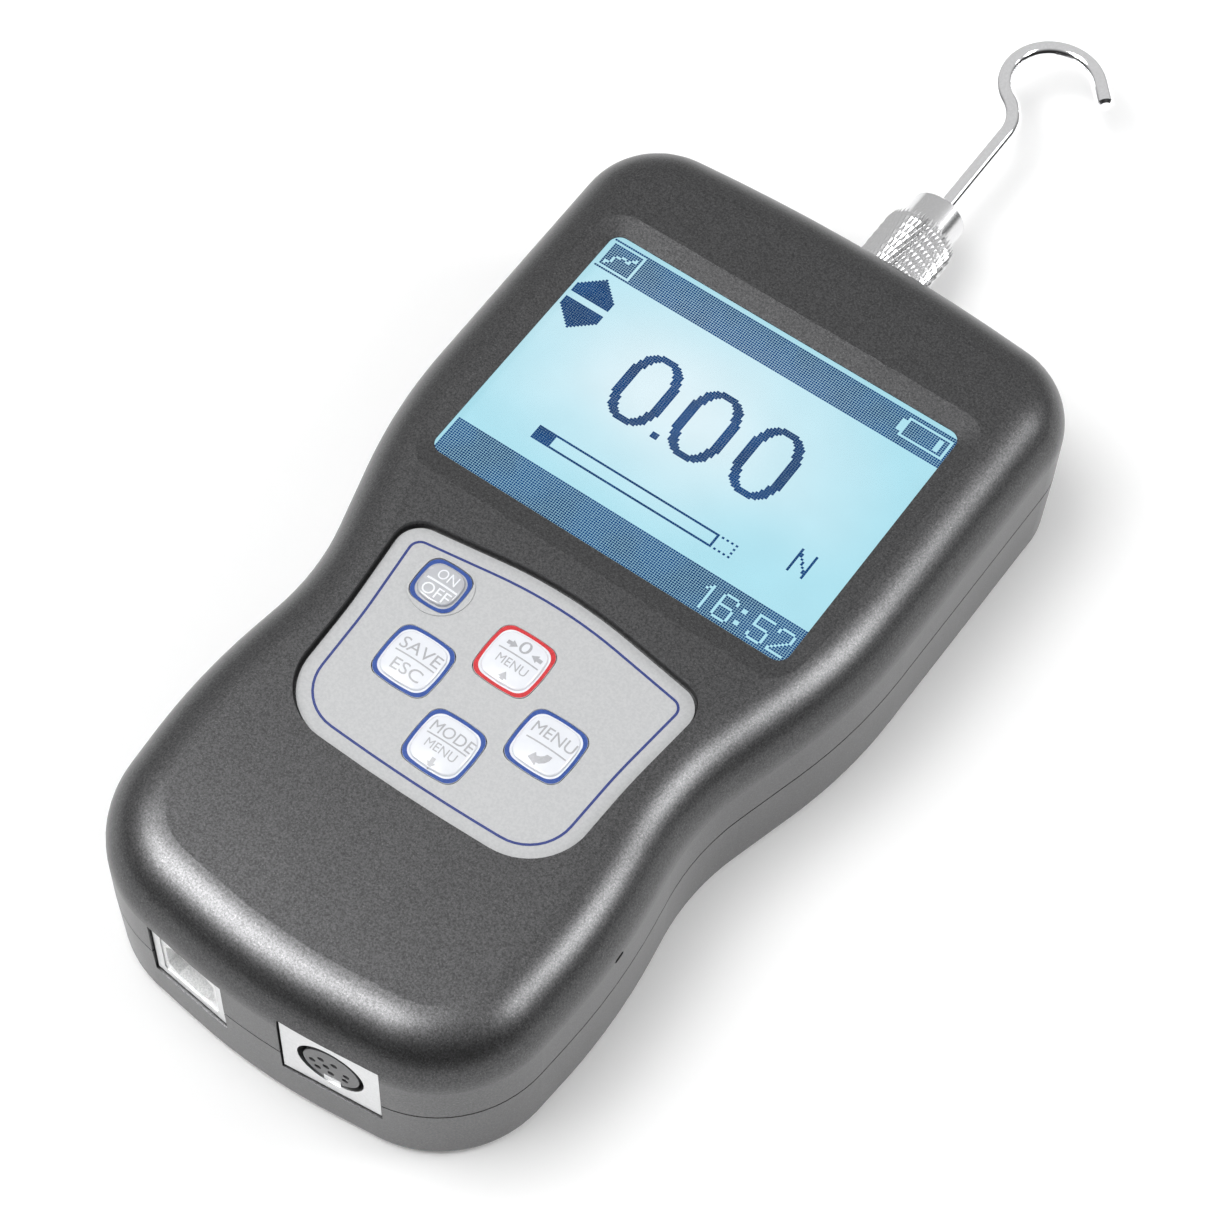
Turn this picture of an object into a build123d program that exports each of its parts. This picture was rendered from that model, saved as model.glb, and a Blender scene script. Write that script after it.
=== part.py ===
from build123d import *
import os
from math import acos, cos, degrees, radians, sin

# Hand-held digital force gauge, as an assembly of separate pieces.
# X points right, Y points along the measuring shaft towards the hook, Z points out of the display.
# The origin is the centre of the flat back. Lengths are millimetres and angles are degrees.

# ---- driving dimensions -------------------------------------------------------------------------
# Housing. Each outline corner is (x, y, rounding radius); the left half mirrors the right half.
case_height = 30.2
parting_height = 13.8
seam_gap = 0.3
case_half = [
    (0, 73.3, 290),
    (39.9, 69.5, 12.8),
    (39.35, 10.6, 78),
    (31.5, -17.0, 36.5),
    (34.75, -38.9, 92),
    (32.4, -68.6, 17.4),
    (0, -72.7, 91),
]
wall = 2.2
top_plate = 2.8
floor_thickness = 2.2
top_edge_radius = 8.5
back_edge_radius = 1.5
draft_angle = 1.2
lip_wall = 1.1
lip_height = 1.6
lip_clearance = 0.05
side_slot_place = (-38.5, 21.9)
side_slot_size = (1.9, 0.9)

# Display
display_y = 27.8
window_size = (58.2, 44.4)
window_corner = 1.8
bevel_width = 3.3
bevel_bottom = 29.5
pane_size = (62.0, 48.2)
pane_top = 29.35
pane_thickness = 1.2
glass_size = (61.0, 47.0)
glass_thickness = 1.9
frame_size = (63.0, 49.2)
frame_drop = 0.8
fit_gap = 0.05

# Keypad field, with the same kind of outline as the housing
keypad_half = [
    (0, -1.6, 70),
    (24.3, -5.2, 3.8),
    (22.75, -20.4, 90),
    (22.05, -38.2, 9),
    (0, -39.1, 300),
]
keypad_gap = 0.4
keypad_floor = 28.4
membrane_thickness = 0.5
key_side = 9.2
small_key_side = 7.3
key_corner = 1.9
key_bulge = 0.35
key_spacing_x = 10.8
key_top_y = -14.5
key_middle_y = -22.3
key_bottom_y = -30.1
on_off_x = -14.7
on_off_y = -11.0
key_clearance = 0.1
key_collar = 0.5
key_collar_thickness = 0.7
key_border = 0.75
key_rise = 0.85
key_dome_radius = 17.0
key_edge_radius = 0.35
key_travel = 0.4
key_stem_radius = 1.75
small_ring_radius = 4.6
small_ring_rise = 0.2
switch_size = 6.0
switch_height = 2.9
switch_button_height = 0.2

# Boards
board_thickness = 1.6
board_corner = 1.5
control_board_bottom = 21.2
display_area_size = (65.0, 57.5)
display_area_y = 28.75
keypad_area_size = (48.0, 48.0)
keypad_area_y = -22.0
interface_board_bottom = 7.3
interface_board_size = (42.0, 21.5)
interface_board_y = -55.25
board_hole_radius = 1.1
board_post_radius = 2.4
board_screw_radius = 0.85
board_screw_head = (1.9, 1.3)
board_screw_length = 5.0

# Sockets in the lower end: centre of the face, size of the face and turn to the bulged end wall
socket_gap_side = 0.25
socket_gap_above = 0.2
socket_gap_below = 0.5
usb_face = (-11.1, -70.75)
usb_size = (12.6, 12.4)
usb_bottom = 9.0
usb_turn = -6
round_face = (12.0, -70.75)
round_size = (14.6, 13.8)
round_bottom = 9.6
round_centre_height = 16.7
round_turn = 6.5
round_bore = 4.95
round_bore_depth = 11.0
round_insert_radius = 4.15
round_insert_drop = 0.3
round_insert_recess = 0.15
round_key_width = 2.5
round_key_height = 1.6
round_key_recess = 0.1
round_pin_radius = 0.5
round_pin_depth = 5.0
round_pin_rows = {1.0: (-1.5, 0.45), -0.6: (-2.85, -0.8, 2.2), -2.1: (-2.1, -0.15, 1.95)}
usb_mouth = (9.9, 9.4)
usb_plug = (8.5, 7.8)
usb_plug_corner = 1.6
usb_plug_depth = 9.0
usb_tongue = (5.6, 3.2)
usb_tongue_recess = 1.5
usb_insert_recess = 0.2
socket_depth = 15
socket_back = 0.6

# Measuring line: M6 shaft, load cell and screw-on hook
axis_height = 9.6
shaft_radius = 3.0
running_clearance = 0.05
bush_radius = 5.0
stop_gap = 0.25
beam_left = -35.5
beam_right = 6.5
beam_near = 46.0
beam_far = 58.0
beam_bottom = 5.6
beam_top = 13.6
beam_hole_places = (-21.0, -10.5)
beam_hole_radius = 4.6
beam_slot_width = 3.0
beam_corner = 0.8
beam_foot_width = 9.0
beam_screw_head = (2.75, 3.0)
beam_screw_socket = (1.4, 1.6)
gauge_size = (5.0, 4.0)
gauge_thickness = 0.3
plate_size = (49.0, 20.0)
plate_centre = (-11.5, 48.0)
plate_thickness = 2.0
plate_screw_head = (2.2, 1.5)
plate_screw_radius = 1.0
plate_screw_grip = 1.2
shaft_near = 38.0
shaft_far = 84.6
nut_flats = 10.0
nut_thickness = 5.0
shaft_chamfer = 0.6
bush_flange_radius = 6.2
bush_flange_thickness = 1.4
bush_near = 68.3
bush_far = 72.1
collar_start = 72.7
knurl_end = 88.4
knurl_radius = 5.55
nose_end = 93.8
nose_radius = 4.5
collar_chamfer = 0.5
wire_radius = 1.38
wire_start = 85.2
ring_centre = (1.05, 124.2)
ring_radius = 7.45
bend_radius = 7.0
ring_end_angle = 42
tip_length = 4.4
tip_chamfer = 0.45

# Screws and inserts
case_screw_places = [(32.5, 62.0), (-32.5, 62.0), (26.5, -61.0), (-26.5, -61.0)]
post_radius = 3.5
pilot_radius = 1.25
insert_spacing = (50.0, 84.0)
insert_centre_y = -8.0
insert_radius = 2.3
insert_length = 6.0
insert_wall = 1.4
thread_radius = 1.5
screw_seat = 3.4
screw_head_radius = 2.8
screw_head_height = 2.2
screw_socket_flats = 2.5
screw_socket_depth = 1.3
screw_length = 19.0

# Battery: round cells side by side across the case
cell_count = 4
cell_radius = 5.25
cell_length = 44.5
cell_pitch = 11.0
cell_first_y = -3.5
cell_height = 9.0
cell_button = (2.0, 0.8)
cradle_height = 5.0
cradle_margin = (5.0, 1.0)
cradle_corner = 2.0

os.makedirs("parts", exist_ok=True)
BOTTOM_CENTRE = (Align.CENTER, Align.CENTER, Align.MIN)
key_places = {
    "key_on_off": (on_off_x, on_off_y, small_key_side),
    "key_save_escape": (-key_spacing_x, key_middle_y, key_side),
    "key_zero": (0, key_top_y, key_side),
    "key_mode": (0, key_bottom_y, key_side),
    "key_menu": (key_spacing_x, key_middle_y, key_side),
}
membrane_top = keypad_floor + membrane_thickness
ceiling = case_height - top_plate
key_collar_top = ceiling - key_clearance
seam_bottom = parting_height - seam_gap / 2
seam_top = parting_height + seam_gap / 2
control_board_top = control_board_bottom + board_thickness
key_panel = membrane_top + fit_gap  # the printed frame round each key's cap lies at this level
switch_top = control_board_top + switch_height + switch_button_height
key_stem_bottom = switch_top + key_travel + fit_gap
interface_board_top = interface_board_bottom + board_thickness
pane_bottom = pane_top - pane_thickness
glass_top = pane_bottom - fit_gap
shaft_plane = Plane.XZ  # its normal is -Y, so positions along the shaft are negative offsets
control_screw_places = [(22.0, 56.3), (-22.0, 56.3), (19.0, -42.5), (-19.0, -42.5)]
interface_screw_places = [(17.5, -48.0), (-17.5, -48.0), (-0.1, -62.5)]
chassis_screw_places = [(10.0, 41.5), (10.0, 54.5), (-30.0, 41.5)]
beam_screw_places = [(-31.0, 49.0), (-31.0, 55.0)]


def save(piece, name):
    """Label a finished piece and write it as its own node."""
    piece.part.label = name
    export_step(piece.part, f"parts/{name}.step")


def outline_face(half, grow=0.0):
    """Face inside the rounded outline of a half list of corners, made larger by grow."""
    corners = half + [(-x, y, radius) for x, y, radius in half[-2:0:-1]]
    with BuildSketch() as outline:
        with BuildLine():
            FilletPolyline(
                [(x, y) for x, y, radius in corners],
                radius=[radius for x, y, radius in corners],
                close=True,
            )
        make_face()
        if grow:
            offset(amount=grow)
    return outline.sketch


def key_outline(x, y, side):
    """Square about (x, y) with gently bulged sides and rounded corners."""
    reach = side / 2 - key_bulge
    corners = [(x - reach, y - reach), (x + reach, y - reach), (x + reach, y + reach), (x - reach, y + reach)]
    middles = [(x, y - side / 2), (x + side / 2, y), (x, y + side / 2), (x - side / 2, y)]
    with BuildSketch() as outline:
        with BuildLine():
            for start, middle, end in zip(corners, middles, corners[1:] + corners[:1]):
                ThreePointArc(start, middle, end)
        make_face()
        fillet(outline.vertices(), key_corner)
    return outline.sketch


def socket_plane(face, turn):
    """Plane on a socket's face: its normal points out of the lower end, its x axis along the face."""
    outward = Vector(sin(radians(turn)), -cos(radians(turn)), 0)
    return Plane(origin=(*face, 0), x_dir=Vector(0, 0, 1).cross(outward), z_dir=outward)


usb_plane = socket_plane(usb_face, usb_turn)
round_plane = socket_plane(round_face, round_turn)
usb_middle = usb_bottom + usb_size[1] / 2
round_face_middle = round_bottom + round_size[1] / 2
round_key_middle = round_centre_height - round_bore + round_key_height / 2 - 0.1

case_outline = outline_face(case_half)
case_inside = outline_face(case_half, -wall)
lip_outline = outline_face(case_half, -lip_wall)
keypad_outline = outline_face(keypad_half)

# openings for both sockets through the lower end wall
with BuildPart() as socket_openings:
    for plane, middle, size in (
        (usb_plane, usb_middle, usb_size),
        (round_plane, round_face_middle, round_size),
    ):
        with BuildSketch(plane.offset(3)):
            with Locations((0, middle + (socket_gap_above - socket_gap_below) / 2)):
                Rectangle(size[0] + 2 * socket_gap_side, size[1] + socket_gap_above + socket_gap_below)
        extrude(amount=-socket_depth)

# hole for the shaft bush through the upper end wall
with BuildPart() as bush_opening:
    with BuildSketch(shaft_plane.offset(-65)):
        with Locations((0, axis_height)):
            Circle(bush_radius + 0.02)
    extrude(amount=-10)

# ---- front housing ------------------------------------------------------------------------------
with BuildPart() as front_cavity:
    with BuildSketch(Plane.XY.offset(seam_top)):
        add(case_inside)
    extrude(amount=ceiling - seam_top)
    fillet(front_cavity.edges().group_by(Axis.Z)[-1], top_edge_radius - wall)

with BuildPart() as front_block:
    with BuildSketch(Plane.XY.offset(seam_top)):
        add(case_outline)
    extrude(amount=case_height - seam_top)
    fillet(front_block.edges().group_by(Axis.Z)[-1], top_edge_radius)

# screw posts and board posts hang from the ceiling and merge with the rounded corners
with BuildPart() as front_posts:
    with BuildSketch(Plane.XY.offset(parting_height)):
        with Locations(*case_screw_places):
            Circle(post_radius)
    extrude(amount=ceiling + 0.5 - parting_height)
    with BuildSketch(Plane.XY.offset(control_board_top)):
        with Locations(*control_screw_places):
            Circle(board_post_radius)
    extrude(amount=ceiling + 0.5 - control_board_top)
    add(front_block.part, mode=Mode.INTERSECT)

with BuildPart() as front_housing:
    add(front_block.part)
    add(front_cavity.part, mode=Mode.SUBTRACT)
    # rebate for the rear housing's lip
    with BuildSketch(Plane.XY.offset(seam_top)):
        add(lip_outline)
        offset(amount=lip_clearance)
    extrude(amount=lip_height, mode=Mode.SUBTRACT)
    add(front_posts.part)
    with Locations(*[(x, y, parting_height) for x, y in case_screw_places]):
        Cylinder(pilot_radius, 11, align=BOTTOM_CENTRE, mode=Mode.SUBTRACT)
    with Locations(*[(x, y, control_board_top) for x, y in control_screw_places]):
        Cylinder(0.9, 4, align=BOTTOM_CENTRE, mode=Mode.SUBTRACT)
    # window: a sunk bevel round the opening, and a rebate below for the pane
    with BuildSketch(Plane.XY.offset(case_height)):
        with Locations((0, display_y)):
            RectangleRounded(
                window_size[0] + 2 * bevel_width,
                window_size[1] + 2 * bevel_width,
                window_corner + bevel_width,
            )
    with BuildSketch(Plane.XY.offset(bevel_bottom)):
        with Locations((0, display_y)):
            RectangleRounded(*window_size, window_corner)
    loft(mode=Mode.SUBTRACT)
    with BuildSketch(Plane.XY.offset(bevel_bottom)):
        with Locations((0, display_y)):
            RectangleRounded(*window_size, window_corner)
    extrude(amount=ceiling - bevel_bottom, mode=Mode.SUBTRACT)
    with BuildSketch(Plane.XY.offset(pane_top)):
        with Locations((0, display_y)):
            Rectangle(pane_size[0] + 0.3, pane_size[1] + 0.3)
    extrude(amount=ceiling - 1 - pane_top, mode=Mode.SUBTRACT)
    # sunk keypad field and the key openings in its floor
    with BuildSketch(Plane.XY.offset(keypad_floor)):
        add(keypad_outline)
        offset(amount=keypad_gap)
    extrude(amount=case_height - keypad_floor, mode=Mode.SUBTRACT)
    for x, y, side in key_places.values():
        with BuildSketch(Plane.XY.offset(keypad_floor)):
            add(key_outline(x, y, side + 3 * key_clearance))
        extrude(amount=ceiling - keypad_floor, mode=Mode.SUBTRACT)
    # small slot in the right-hand wall
    with BuildSketch(Plane.YZ.offset(30)):
        with Locations(side_slot_place):
            SlotOverall(*side_slot_size)
    extrude(amount=8, mode=Mode.SUBTRACT)
    add(socket_openings.part, mode=Mode.SUBTRACT)
    add(bush_opening.part, mode=Mode.SUBTRACT)
save(front_housing, "front_housing")

# ---- rear housing -------------------------------------------------------------------------------
with BuildPart() as rear_housing:
    with BuildSketch(Plane.XY.offset(seam_bottom)):
        add(case_outline)
    extrude(amount=-seam_bottom, taper=draft_angle)
    fillet(rear_housing.edges().group_by(Axis.Z)[0], back_edge_radius)
    with BuildSketch(Plane.XY.offset(floor_thickness)):
        add(case_inside)
    extrude(amount=seam_bottom - floor_thickness, mode=Mode.SUBTRACT)
    # lip that enters the front housing
    with BuildSketch(Plane.XY.offset(seam_bottom - 1)):
        add(lip_outline)
        add(case_inside, mode=Mode.SUBTRACT)
    extrude(amount=lip_height + 1)
    with Locations(*[(x, y, parting_height) for x, y in case_screw_places]):
        Cylinder(post_radius + 0.2, 3, align=BOTTOM_CENTRE, mode=Mode.SUBTRACT)
    # screw posts, insert bosses and board posts stand on the floor
    with BuildSketch(Plane.XY):
        with Locations(*case_screw_places):
            Circle(post_radius)
    extrude(amount=parting_height)
    with BuildSketch(Plane.XY):
        with Locations((0, insert_centre_y)):
            with GridLocations(*insert_spacing, 2, 2):
                Circle(insert_radius + insert_wall)
    extrude(amount=insert_length + 1.2)
    with BuildSketch(Plane.XY.offset(floor_thickness)):
        with Locations(*interface_screw_places):
            Circle(board_post_radius)
    extrude(amount=interface_board_bottom - floor_thickness)
    with Locations(*[(x, y, 0) for x, y in case_screw_places]):
        with Locations(Rotation(180, 0, 0)):
            CounterBoreHole(radius=1.6, counter_bore_radius=3.0, counter_bore_depth=screw_seat)
    with Locations((0, insert_centre_y, 0)):
        with GridLocations(*insert_spacing, 2, 2):
            Cylinder(insert_radius, insert_length, align=BOTTOM_CENTRE, mode=Mode.SUBTRACT)
    with Locations(*[(x, y, floor_thickness + 1) for x, y in interface_screw_places]):
        Cylinder(0.9, 6, align=BOTTOM_CENTRE, mode=Mode.SUBTRACT)
    with Locations(*[(x, y, floor_thickness - 1.4) for x, y in chassis_screw_places]):
        Cylinder(plate_screw_radius, 1.4, align=BOTTOM_CENTRE, mode=Mode.SUBTRACT)
    add(socket_openings.part, mode=Mode.SUBTRACT)
    add(bush_opening.part, mode=Mode.SUBTRACT)
save(rear_housing, "rear_housing")

# ---- display ------------------------------------------------------------------------------------
with BuildPart() as display_window:
    with BuildSketch(Plane.XY.offset(pane_bottom)):
        with Locations((0, display_y)):
            RectangleRounded(*pane_size, 1.0)
    extrude(amount=pane_thickness)
    chamfer(display_window.edges().group_by(Axis.Z)[-1], 0.2)
save(display_window, "display_window")

# two sheets of glass; the lower one stands out at the near edge, where its contacts are
with BuildPart() as display_glass:
    with BuildSketch(Plane.XY.offset(glass_top - glass_thickness)):
        with Locations((0, display_y)):
            Rectangle(*glass_size)
    extrude(amount=glass_thickness / 2)
    with BuildSketch(Plane.XY.offset(glass_top - glass_thickness / 2)):
        with Locations((0, display_y + 1)):
            Rectangle(glass_size[0], glass_size[1] - 2)
    extrude(amount=glass_thickness / 2)
save(display_glass, "display_glass")

with BuildPart() as display_backlight:
    with BuildSketch(Plane.XY.offset(control_board_top + fit_gap)):
        with Locations((0, display_y)):
            RectangleRounded(glass_size[0] - 0.4, glass_size[1] - 0.4, 0.8)
    extrude(amount=glass_top - glass_thickness - control_board_top - 2 * fit_gap)
save(display_backlight, "display_backlight")

with BuildPart() as display_frame:
    with BuildSketch(Plane.XY.offset(control_board_top)):
        with Locations((0, display_y)):
            RectangleRounded(*frame_size, 1.2)
            Rectangle(glass_size[0] + 0.2, glass_size[1] + 0.2, mode=Mode.SUBTRACT)
    extrude(amount=ceiling - frame_drop - control_board_top)
save(display_frame, "display_frame")

# ---- keypad -------------------------------------------------------------------------------------
with BuildPart() as keypad_overlay:
    with BuildSketch(Plane.XY.offset(keypad_floor)):
        add(keypad_outline)
    extrude(amount=membrane_thickness)
    # raised ring round the small key
    with BuildSketch(Plane.XY.offset(membrane_top)):
        with Locations((on_off_x, on_off_y)):
            Circle(small_ring_radius)
    extrude(amount=small_ring_rise)
    for x, y, side in key_places.values():
        with BuildSketch(Plane.XY.offset(keypad_floor)):
            add(key_outline(x, y, side + 2 * key_clearance))
        extrude(amount=membrane_thickness + small_ring_rise, mode=Mode.SUBTRACT)
save(keypad_overlay, "keypad_overlay")


def make_key(name, x, y, side):
    """One key: a domed cap on a square shank, a collar that keeps it in, and a pressing stem."""
    with BuildPart() as cap:
        with BuildSketch(Plane.XY.offset(key_panel)):
            add(key_outline(x, y, side - 2 * key_border))
        extrude(amount=key_rise)
        with Locations((x, y, key_panel + key_rise - key_dome_radius)):
            Sphere(key_dome_radius, mode=Mode.INTERSECT)
        fillet(cap.faces().sort_by(Axis.Z)[-1].edges(), key_edge_radius)
    with BuildPart() as key:
        with BuildSketch(Plane.XY.offset(key_collar_top - key_collar_thickness)):
            add(key_outline(x, y, side + 2 * key_collar))
        extrude(amount=key_collar_thickness)
        with BuildSketch(Plane.XY.offset(key_collar_top)):
            add(key_outline(x, y, side))
        extrude(amount=key_panel - key_collar_top)
        add(cap.part)
        with BuildSketch(Plane.XY.offset(key_stem_bottom)):
            with Locations((x, y)):
                Circle(key_stem_radius)
        extrude(amount=key_collar_top - key_stem_bottom)
    save(key, name)


for key_name, (key_x, key_y, key_width) in key_places.items():
    make_key(key_name, key_x, key_y, key_width)

with BuildPart() as key_switches:
    with BuildSketch(Plane.XY.offset(control_board_top)):
        with Locations(*[(x, y) for x, y, side in key_places.values()]):
            RectangleRounded(switch_size, switch_size, 0.5)
    extrude(amount=switch_height)
    with BuildSketch(Plane.XY.offset(control_board_top + switch_height)):
        with Locations(*[(x, y) for x, y, side in key_places.values()]):
            Circle(key_stem_radius)
    extrude(amount=switch_button_height)
save(key_switches, "key_switches")

# ---- boards -------------------------------------------------------------------------------------
with BuildPart() as control_board:
    with BuildSketch(Plane.XY.offset(control_board_bottom)):
        with Locations((0, display_area_y)):
            RectangleRounded(*display_area_size, board_corner)
        with Locations((0, keypad_area_y)):
            RectangleRounded(*keypad_area_size, board_corner)
        with Locations(*control_screw_places):
            Circle(board_hole_radius, mode=Mode.SUBTRACT)
    extrude(amount=board_thickness)
save(control_board, "control_board")

with BuildPart() as interface_board:
    with BuildSketch(Plane.XY.offset(interface_board_bottom)):
        with Locations((0, interface_board_y)):
            RectangleRounded(*interface_board_size, board_corner)
        with Locations(*interface_screw_places):
            Circle(board_hole_radius, mode=Mode.SUBTRACT)
    extrude(amount=board_thickness)
save(interface_board, "interface_board")

with BuildPart() as board_screws:
    with Locations(*[(x, y, control_board_bottom - board_screw_head[1]) for x, y in control_screw_places]):
        Cylinder(*board_screw_head, align=BOTTOM_CENTRE)
    with Locations(*[(x, y, control_board_bottom) for x, y in control_screw_places]):
        Cylinder(board_screw_radius, board_screw_length, align=BOTTOM_CENTRE)
    with Locations(*[(x, y, interface_board_top) for x, y in interface_screw_places]):
        Cylinder(*board_screw_head, align=BOTTOM_CENTRE)
    with Locations(*[(x, y, interface_board_top - board_screw_length) for x, y in interface_screw_places]):
        Cylinder(board_screw_radius, board_screw_length, align=BOTTOM_CENTRE)
save(board_screws, "board_screws")

# ---- data socket --------------------------------------------------------------------------------
with BuildPart() as usb_socket_shell:
    with BuildSketch(usb_plane):
        with Locations((0, usb_middle)):
            Rectangle(*usb_size)
    extrude(amount=-socket_depth)
    with BuildSketch(usb_plane):
        with Locations((0, usb_middle)):
            RectangleRounded(*usb_mouth, 0.5)
    extrude(amount=-(socket_depth - socket_back), mode=Mode.SUBTRACT)
save(usb_socket_shell, "usb_socket_shell")

with BuildPart() as usb_socket_insert:
    with BuildSketch(usb_plane.offset(-usb_insert_recess)):
        with Locations((0, usb_middle)):
            RectangleRounded(usb_mouth[0] - fit_gap, usb_mouth[1] - fit_gap, 0.47)
    extrude(amount=-(socket_depth - 1.0))
    # plug opening with its two cut corners
    with BuildSketch(usb_plane.offset(-usb_insert_recess)) as plug_opening:
        with Locations((0, usb_middle)):
            Rectangle(*usb_plug)
        chamfer(plug_opening.vertices().group_by(Axis.Z)[-1], usb_plug_corner)
    extrude(amount=-usb_plug_depth, mode=Mode.SUBTRACT)
    # contact tongue
    with BuildSketch(usb_plane.offset(-usb_tongue_recess)):
        with Locations((0, usb_middle)):
            Rectangle(*usb_tongue)
    extrude(amount=-usb_plug_depth)
save(usb_socket_insert, "usb_socket_insert")

# ---- round socket -------------------------------------------------------------------------------
with BuildPart() as round_socket_shield:
    with BuildSketch(round_plane):
        with Locations((0, round_face_middle)):
            Rectangle(*round_size)
        with Locations((0, round_centre_height)):
            Circle(round_bore, mode=Mode.SUBTRACT)
    extrude(amount=-round_bore_depth)
    with BuildSketch(round_plane.offset(-round_bore_depth)):
        with Locations((0, round_face_middle)):
            Rectangle(*round_size)
    extrude(amount=round_bore_depth - socket_depth + 2)
    # key strip at the bottom of the bore
    with BuildSketch(round_plane.offset(-round_key_recess)):
        with Locations((0, round_key_middle)):
            Rectangle(round_key_width, round_key_height)
    extrude(amount=-(round_bore_depth - round_key_recess))
save(round_socket_shield, "round_socket_shield")

with BuildPart() as round_socket_insert:
    with BuildSketch(round_plane.offset(-round_insert_recess)):
        with Locations((0, round_centre_height - round_insert_drop)):
            Circle(round_insert_radius)
        with Locations((0, round_key_middle)):
            Rectangle(round_key_width + 2 * fit_gap, round_key_height + 2 * fit_gap, mode=Mode.SUBTRACT)
    extrude(amount=-(round_bore_depth - round_insert_recess))
    for height, offsets in round_pin_rows.items():
        with BuildSketch(round_plane.offset(-round_insert_recess)):
            with Locations(*[(x, round_centre_height + height) for x in offsets]):
                Circle(round_pin_radius)
        extrude(amount=-round_pin_depth, mode=Mode.SUBTRACT)
save(round_socket_insert, "round_socket_insert")

# ---- battery ------------------------------------------------------------------------------------
cell_places = [(0, cell_first_y - n * cell_pitch, cell_height) for n in range(cell_count)]
cells_middle_y = cell_first_y - (cell_count - 1) * cell_pitch / 2

with BuildPart() as battery_cells:
    with Locations(*cell_places):
        Cylinder(cell_radius, cell_length, rotation=(0, 90, 0))
    with Locations(*[(cell_length / 2 + cell_button[1] / 2, y, z) for x, y, z in cell_places]):
        Cylinder(*cell_button, rotation=(0, 90, 0))
save(battery_cells, "battery_cells")

with BuildPart() as battery_cradle:
    with BuildSketch(Plane.XY.offset(floor_thickness)):
        with Locations((0, cells_middle_y)):
            RectangleRounded(
                cell_length + cradle_margin[0],
                cell_count * cell_pitch + cradle_margin[1],
                cradle_corner,
            )
    extrude(amount=cradle_height)
    with Locations(*cell_places):
        Cylinder(cell_radius + 0.1, cell_length + 2.0, rotation=(0, 90, 0), mode=Mode.SUBTRACT)
save(battery_cradle, "battery_cradle")

# ---- load cell ----------------------------------------------------------------------------------
plate_top = floor_thickness + plate_thickness
beam_middle_y = (beam_near + beam_far) / 2
beam_depth = beam_far - beam_near

with BuildPart() as chassis_plate:
    with BuildSketch(Plane.XY.offset(floor_thickness)):
        with Locations(plate_centre):
            RectangleRounded(*plate_size, 2.0)
        with Locations(*chassis_screw_places):
            Circle(1.4, mode=Mode.SUBTRACT)
        with Locations(*beam_screw_places):
            Circle(thread_radius, mode=Mode.SUBTRACT)
    extrude(amount=plate_thickness)
save(chassis_plate, "chassis_plate")

with BuildPart() as load_cell_pad:
    with BuildSketch(Plane.XY.offset(plate_top)):
        with Locations((beam_left + beam_foot_width / 2, beam_middle_y)):
            Rectangle(beam_foot_width, beam_depth)
        with Locations(*beam_screw_places):
            Circle(1.6, mode=Mode.SUBTRACT)
    extrude(amount=beam_bottom - plate_top)
save(load_cell_pad, "load_cell_pad")

# bending beam: two round openings joined by a slot leave four thin walls that flex
with BuildPart() as load_cell:
    with BuildSketch(Plane.XY.offset(beam_bottom)):
        with Locations(((beam_left + beam_right) / 2, beam_middle_y)):
            RectangleRounded(beam_right - beam_left, beam_depth, beam_corner)
        with Locations(*[(x, beam_middle_y) for x in beam_hole_places]):
            Circle(beam_hole_radius, mode=Mode.SUBTRACT)
        with Locations((sum(beam_hole_places) / 2, beam_middle_y)):
            Rectangle(beam_hole_places[1] - beam_hole_places[0], beam_slot_width, mode=Mode.SUBTRACT)
        with Locations(*beam_screw_places):
            Circle(1.6, mode=Mode.SUBTRACT)
    extrude(amount=beam_top - beam_bottom)
    with BuildSketch(shaft_plane.offset(-beam_near)):
        with Locations((0, axis_height)):
            Circle(shaft_radius + 0.1)
    extrude(amount=-beam_depth, mode=Mode.SUBTRACT)
save(load_cell, "load_cell")

with BuildPart() as load_cell_screws:
    with Locations(*[(x, y, beam_top) for x, y in beam_screw_places]):
        Cylinder(*beam_screw_head, align=BOTTOM_CENTRE)
    with Locations(*[(x, y, floor_thickness + 0.5) for x, y in beam_screw_places]):
        Cylinder(thread_radius, beam_top - floor_thickness - 0.5, align=BOTTOM_CENTRE)
    with Locations(*[(x, y, beam_top + beam_screw_head[1]) for x, y in beam_screw_places]):
        with Locations(Rotation(180, 0, 0)):
            Cylinder(*beam_screw_socket, align=BOTTOM_CENTRE, mode=Mode.SUBTRACT)
save(load_cell_screws, "load_cell_screws")

with BuildPart() as chassis_screws:
    with Locations(*[(x, y, plate_top) for x, y in chassis_screw_places]):
        Cylinder(*plate_screw_head, align=BOTTOM_CENTRE)
    with Locations(*[(x, y, floor_thickness - plate_screw_grip) for x, y in chassis_screw_places]):
        Cylinder(plate_screw_radius, plate_thickness + plate_screw_grip, align=BOTTOM_CENTRE)
save(chassis_screws, "chassis_screws")

with BuildPart() as strain_gauges:
    for face_y, outward in ((beam_near, -1), (beam_far, 1)):
        with Locations(*[(x, face_y + outward * gauge_thickness / 2, axis_height) for x in beam_hole_places]):
            Box(gauge_size[0], gauge_thickness, gauge_size[1])
save(strain_gauges, "strain_gauges")

# ---- measuring shaft and hook -------------------------------------------------------------------
shaft_line = Axis((0, 0, axis_height), (0, 1, 0))
turning_plane = Plane.XY.offset(axis_height)  # profiles turned round the shaft line are drawn here

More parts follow.
